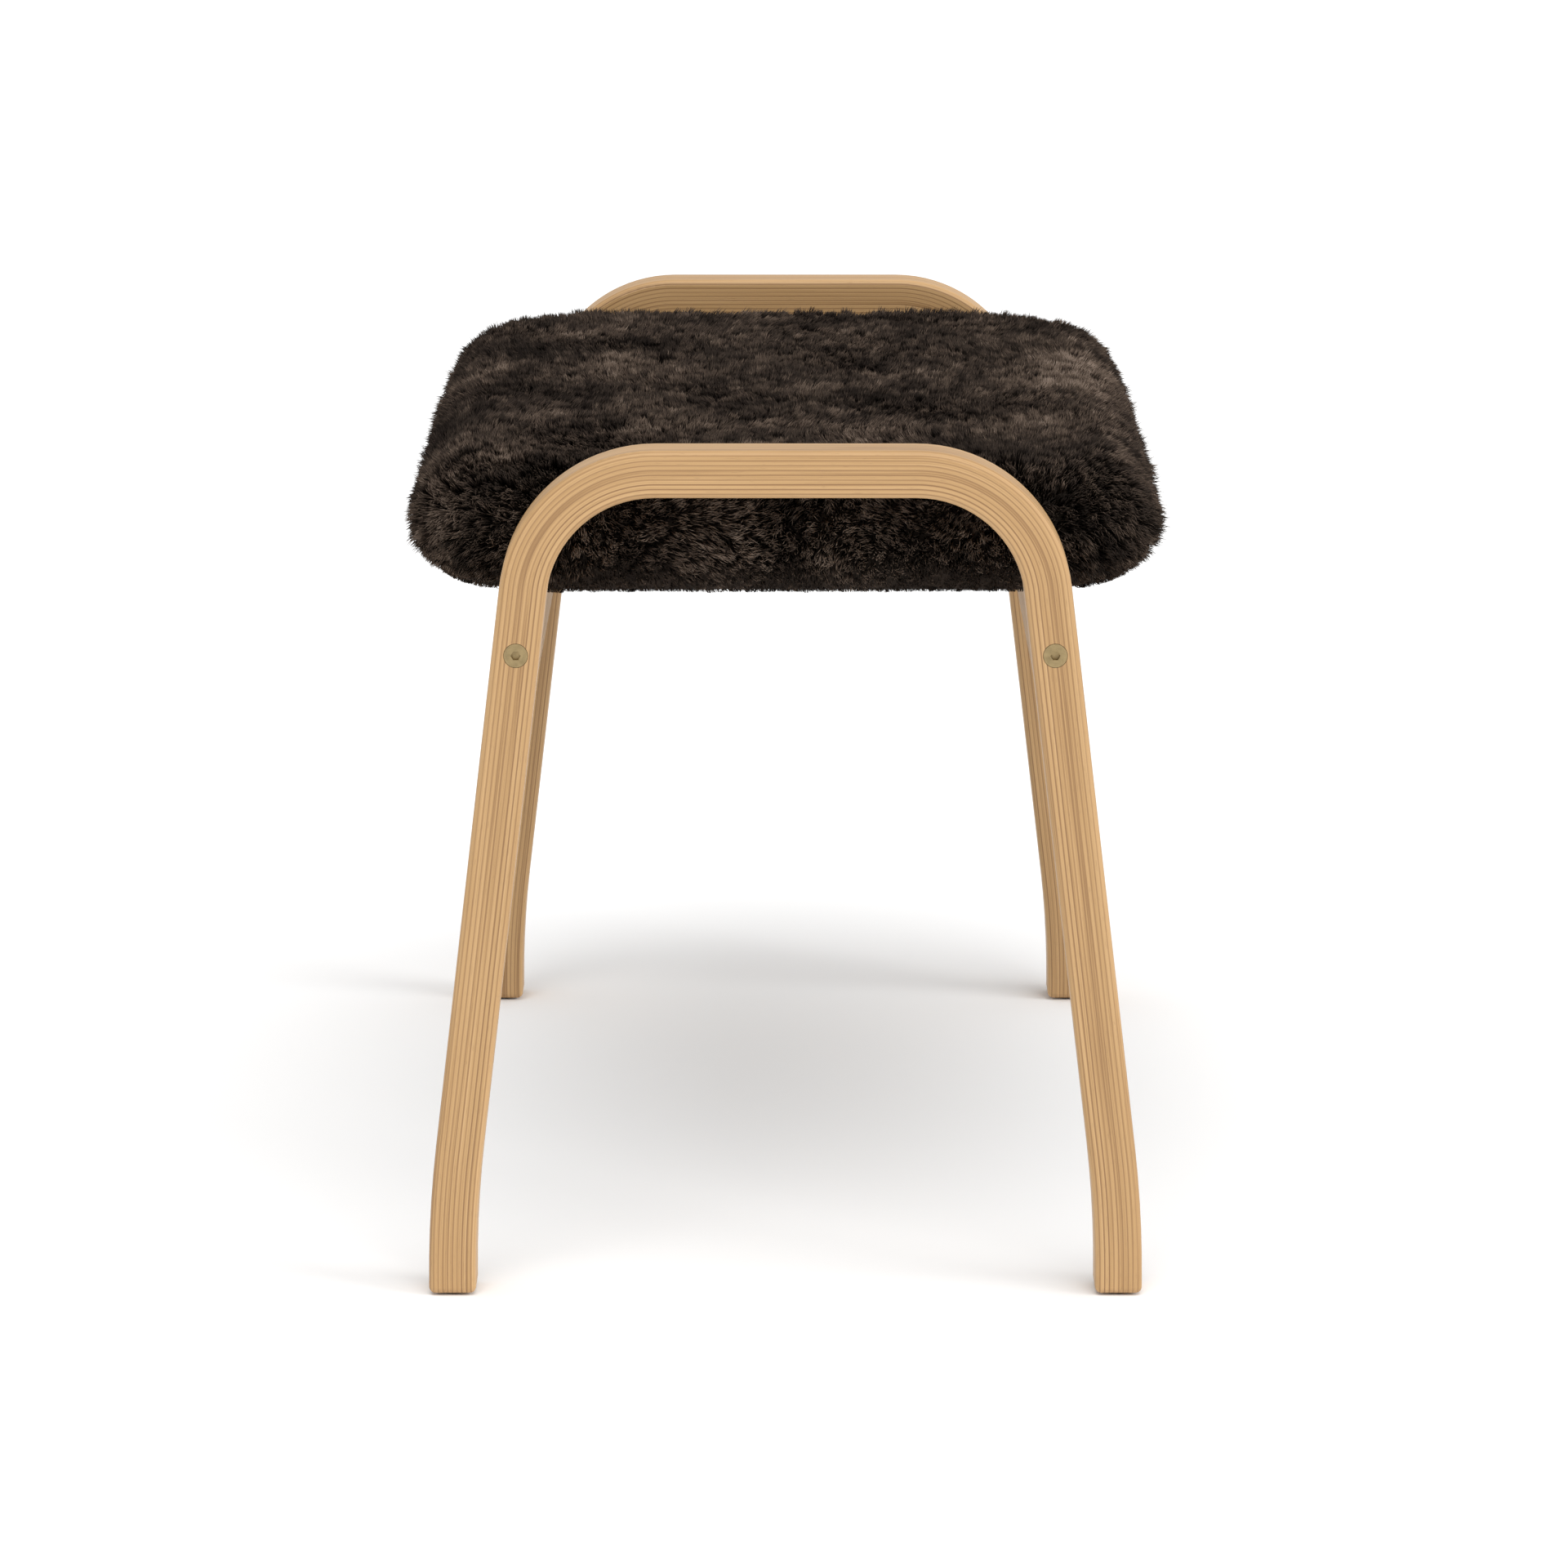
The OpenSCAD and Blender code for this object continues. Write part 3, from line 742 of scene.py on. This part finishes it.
def grow_pile(surface):
    """Every fibre's (foot, middle, tip, width, tone)."""
    rng = np.random.default_rng(8562)
    tuft_place, tuft_normal, tuft_height = scatter(rng, TUFTS, surface)
    place, normal, height = scatter(rng, STRANDS, surface)
    keep = clear_of_rails(place)
    place, normal, height = place[keep], normal[keep], height[keep]
    count = len(place)
    state = rng.bit_generator.state
    lean = lean_of(rng, place, normal)
    rng.bit_generator.state = state             # tufts and fibres follow the same swirls
    tuft_lean = lean_of(rng, tuft_place, tuft_normal)
    tuft_lean += rng.normal(0, 0.45, tuft_lean.shape)
    tree = KDTree(TUFTS)
    for i, spot in enumerate(tuft_place):
        tree.insert(spot, i)
    tree.balance()
    nearest = np.array([tree.find(spot)[1] for spot in place])
    tuft_size = rng.normal(1.0, 0.11, TUFTS)
    tuft_way = unit(tuft_normal + TUFT_NAP * tuft_lean)
    tuft_tip = tuft_place + (tuft_height * tuft_size)[:, None] * tuft_way
    sideways = 1 - np.abs(normal[:, 2])
    length = height * rng.normal(1.03, 0.08, count) * tuft_size[nearest] * (1 + SIDE_GROWTH * sideways)
    length *= 1 + LENGTH_WAVES * Waves(rng, 16, 0.02, 0.07)(place)
    own_way = unit(normal + NAP * lean + rng.normal(0, 0.16, (count, 3)))
    tip = place + length[:, None] * own_way
    pull = np.clip(rng.normal(CLUMPING, 0.12, count), 0, 0.75)[:, None]
    tip += (tuft_tip[nearest] - tip) * pull
    middle = place * 0.40 + tip * 0.60 + normal * (0.14 * length)[:, None]
    width = STRAND_WIDTH * rng.normal(1.0, 0.15, count) * np.clip(height / PILE_LONG, 0.55, 1)
    tone = tone_of(rng, place, normal) + rng.normal(0, 0.55, count)
    tone += rng.normal(0, 0.85, TUFTS)[nearest]
    for part in (middle, tip):
        rest_on_rails(part)
        over = np.clip(np.abs(part[:, 1]) - PILE_LIMIT_Y, 0, None)
        part[:, 1] -= np.sign(part[:, 1]) * over * rng.uniform(1.0, 1.6, count)
    return place, middle, tip, width, tone


def unit(ways):
    return ways / np.maximum(np.linalg.norm(ways, axis=1), 1e-9)[:, None]


def fibre_material(i, colour):
    """One dye shade of the pile."""
    s = Shader(f"pile_shade_{i}", specular=0.0, roughness=0.7)
    s.set("colour", colour)
    return s.material


def pile_piece(name, foot, middle, tip, width, tone, shades, rng):
    """Three-sided tapered fibres, closed at the foot and pointed at the tip, as one mesh."""
    count = len(foot)
    along = unit(tip - foot)
    side = unit(np.cross(along, rng.normal(size=(count, 3))))
    other = np.cross(along, side)
    verts = np.empty((count, 7, 3))
    for i, angle in enumerate(np.radians((0, 120, 240))):
        off = (side * math.cos(angle) + other * math.sin(angle)) * (width / 2)[:, None]
        verts[:, i] = foot + off
        verts[:, 3 + i] = middle + off * 0.85
    verts[:, 6] = tip
    quads = np.array(((0, 1, 4, 3), (1, 2, 5, 4), (2, 0, 3, 5)))
    points = np.array(((3, 4, 6), (4, 5, 6), (5, 3, 6), (2, 1, 0)))
    base = (np.arange(count) * 7)[:, None]
    loops = np.concatenate(((quads.reshape(-1) + base), (points.reshape(-1) + base)), 1).reshape(-1)
    sizes = np.tile((4, 4, 4, 3, 3, 3, 3), count)
    starts = np.concatenate(((0,), np.cumsum(sizes)[:-1]))
    mesh = bpy.data.meshes.new(name)
    mesh.vertices.add(count * 7)
    mesh.vertices.foreach_set("co", verts.reshape(-1))
    mesh.loops.add(len(loops))
    mesh.loops.foreach_set("vertex_index", loops)
    mesh.polygons.add(len(sizes))
    mesh.polygons.foreach_set("loop_start", starts)
    for material in shades:
        mesh.materials.append(material)
    level = np.clip(np.round(tone), 1, len(shades) - 1).astype(int)
    lower = np.clip(level - 1, 0, len(shades) - 1)
    index = np.stack((lower, lower, lower, level, level, level, lower), 1).reshape(-1)
    mesh.polygons.foreach_set("material_index", index.astype(np.int32))
    shade_smooth(mesh)
    mesh.update(calc_edges=True)
    place_piece(name, mesh, "sheepskin_cover")


def make_pile(outside):
    """Grows the pile on the hide's outer side, cut from front to rear into pieces."""
    foot, middle, tip, width, tone = grow_pile(triangles_of(outside))
    shades = [fibre_material(i, colour) for i, colour in enumerate(PALETTE)]
    order = np.argsort(foot[:, 1], kind="stable")
    rng = np.random.default_rng(31)
    for i, start in enumerate(range(0, len(order), PER_PIECE)):
        part = order[start:start + PER_PIECE]
        pile_piece(f"sheepskin_pile_{i + 1:02d}", foot[part], middle[part], tip[part], width[part],
                   tone[part], shades, rng)


# ---------- Inside the cushion, and under it ----------

def foam_material():
    """Open-celled foam."""
    s = Shader("polyether_foam", roughness=0.85, specular=0.15)
    x, y, z = s.object_xyz()
    cells = s.noise(s.vector(x, y, z), 900.0, 2.0, 0.7)
    colour = s.ramp(cells, (0.3, (0.62, 0.55, 0.38)), (0.7, (0.82, 0.76, 0.58)))
    return s.finish(colour, None, s.bump(cells, 0.6 * MM, 0.8))


def wadding_material():
    """White polyester fibre, matted crosswise."""
    s = Shader("polyester_wadding", roughness=0.95, specular=0.1)
    x, y, z = s.object_xyz()
    fibres = s.noise(s.vector(s.math("MULTIPLY", x, 5.0), y, z), 300.0, 4.0, 0.7, 1.5)
    colour = s.ramp(fibres, (0.3, (0.66, 0.66, 0.64)), (0.7, (0.88, 0.88, 0.86)))
    return s.finish(colour, None, s.bump(fibres, 0.8 * MM, 0.8))


def make_core():
    """The foam block, and the wadding shell that covers its top and sides down to the board."""
    foam_top = core_rings(0, FOAM_HIGH.z, FOAM_ROLL)
    low = FOAM_LOW.z + GAP / 2
    edge = (*foam_top[-1][:3], low)
    under = face_rings(*edge, 8)
    points, faces = loft(foam_top + [edge] + under[::-1])
    foam = new_piece("foam_block", points, faces, foam_material(), "foam_pad")
    outer = core_rings(WADDING_SIDE, WADDING_HIGH.z, WADDING_ROLL)
    inner = core_rings(GAP, FOAM_HIGH.z + GAP, FOAM_ROLL)
    low = WADDING_LOW.z + GAP
    edges = [(*ring[:3], low) for ring in (outer[-1], inner[-1])]
    points, faces = loft(outer + edges + inner[::-1])
    wrap = new_piece("wadding_wrap", points, faces, wadding_material(), "wadding")


def dust_cloth_material():
    """Black non-woven cloth with a fine embossed dot pattern."""
    s = Shader("black_nonwoven", roughness=0.85, specular=0.2)
    x, y, z = s.object_xyz()
    pitch = 2.2 * MM
    row = s.math("SINE", s.math("MULTIPLY", s.math("ADD", x, y), 2 * math.pi / pitch))
    column = s.math("SINE", s.math("MULTIPLY", s.math("SUBTRACT", x, y), 2 * math.pi / pitch))
    dots = s.smooth(s.math("MULTIPLY", row, column), 0.3, 0.8)
    fibres = s.noise(s.vector(x, y, z), 1500.0, 3.0, 0.7)
    colour = s.ramp(s.math("SUBTRACT", fibres, s.math("MULTIPLY", dots, 0.3)),
                    (0.1, (0.010, 0.010, 0.010)), (0.7, (0.040, 0.040, 0.041)))
    return s.finish(colour, None, s.bump(s.math("SUBTRACT", fibres, dots), 0.2 * MM, 0.8))


def make_dust_cover():
    """The cloth under the seat: stapled round its edge, sagging a little between."""
    thick, sag = 0.6 * MM, 3.0 * MM
    half_x, half_y = DUST_HIGH.x, DUST_HIGH.y
    across, along = 46, 90
    x, y = np.meshgrid(np.linspace(-half_x, half_x, across + 1), np.linspace(-half_y, half_y, along + 1))
    x, y = x.ravel(), y.ravel()
    u, v = np.clip(1 - (x / half_x) ** 2, 0, 1), np.clip(1 - (y / half_y) ** 4, 0, 1)
    ripple = 0.25 * MM * np.sin(x / (9 * MM) + 1.3 * np.sin(y / (40 * MM)))
    z = DUST_HIGH.z - thick - GAP / 2 - (sag + ripple) * u * v
    lower = np.stack((x, y, z), 1)
    upper = lower + (0, 0, thick)
    wide, count = across + 1, len(x)
    faces = []
    for j in range(along):
        for i in range(across):
            a = j * wide + i
            quad = (a, a + wide, a + wide + 1, a + 1)
            faces += [quad, tuple(count + k for k in quad[::-1])]
    rim = (list(range(across)) + [j * wide + across for j in range(along)]
           + [along * wide + i for i in range(across, 0, -1)] + [j * wide for j in range(along, 0, -1)])
    for a, b in zip(rim, rim[1:] + rim[:1]):
        faces.append((a, b, count + b, count + a))
    cloth = new_piece("dust_cloth", np.concatenate((lower, upper)), faces, dust_cloth_material(),
                      "dust_cover")


make_camera()
make_light()
make_floor()
dress_frame()
hide_outside = make_hide()
make_pile(hide_outside)
make_core()
make_dust_cover()
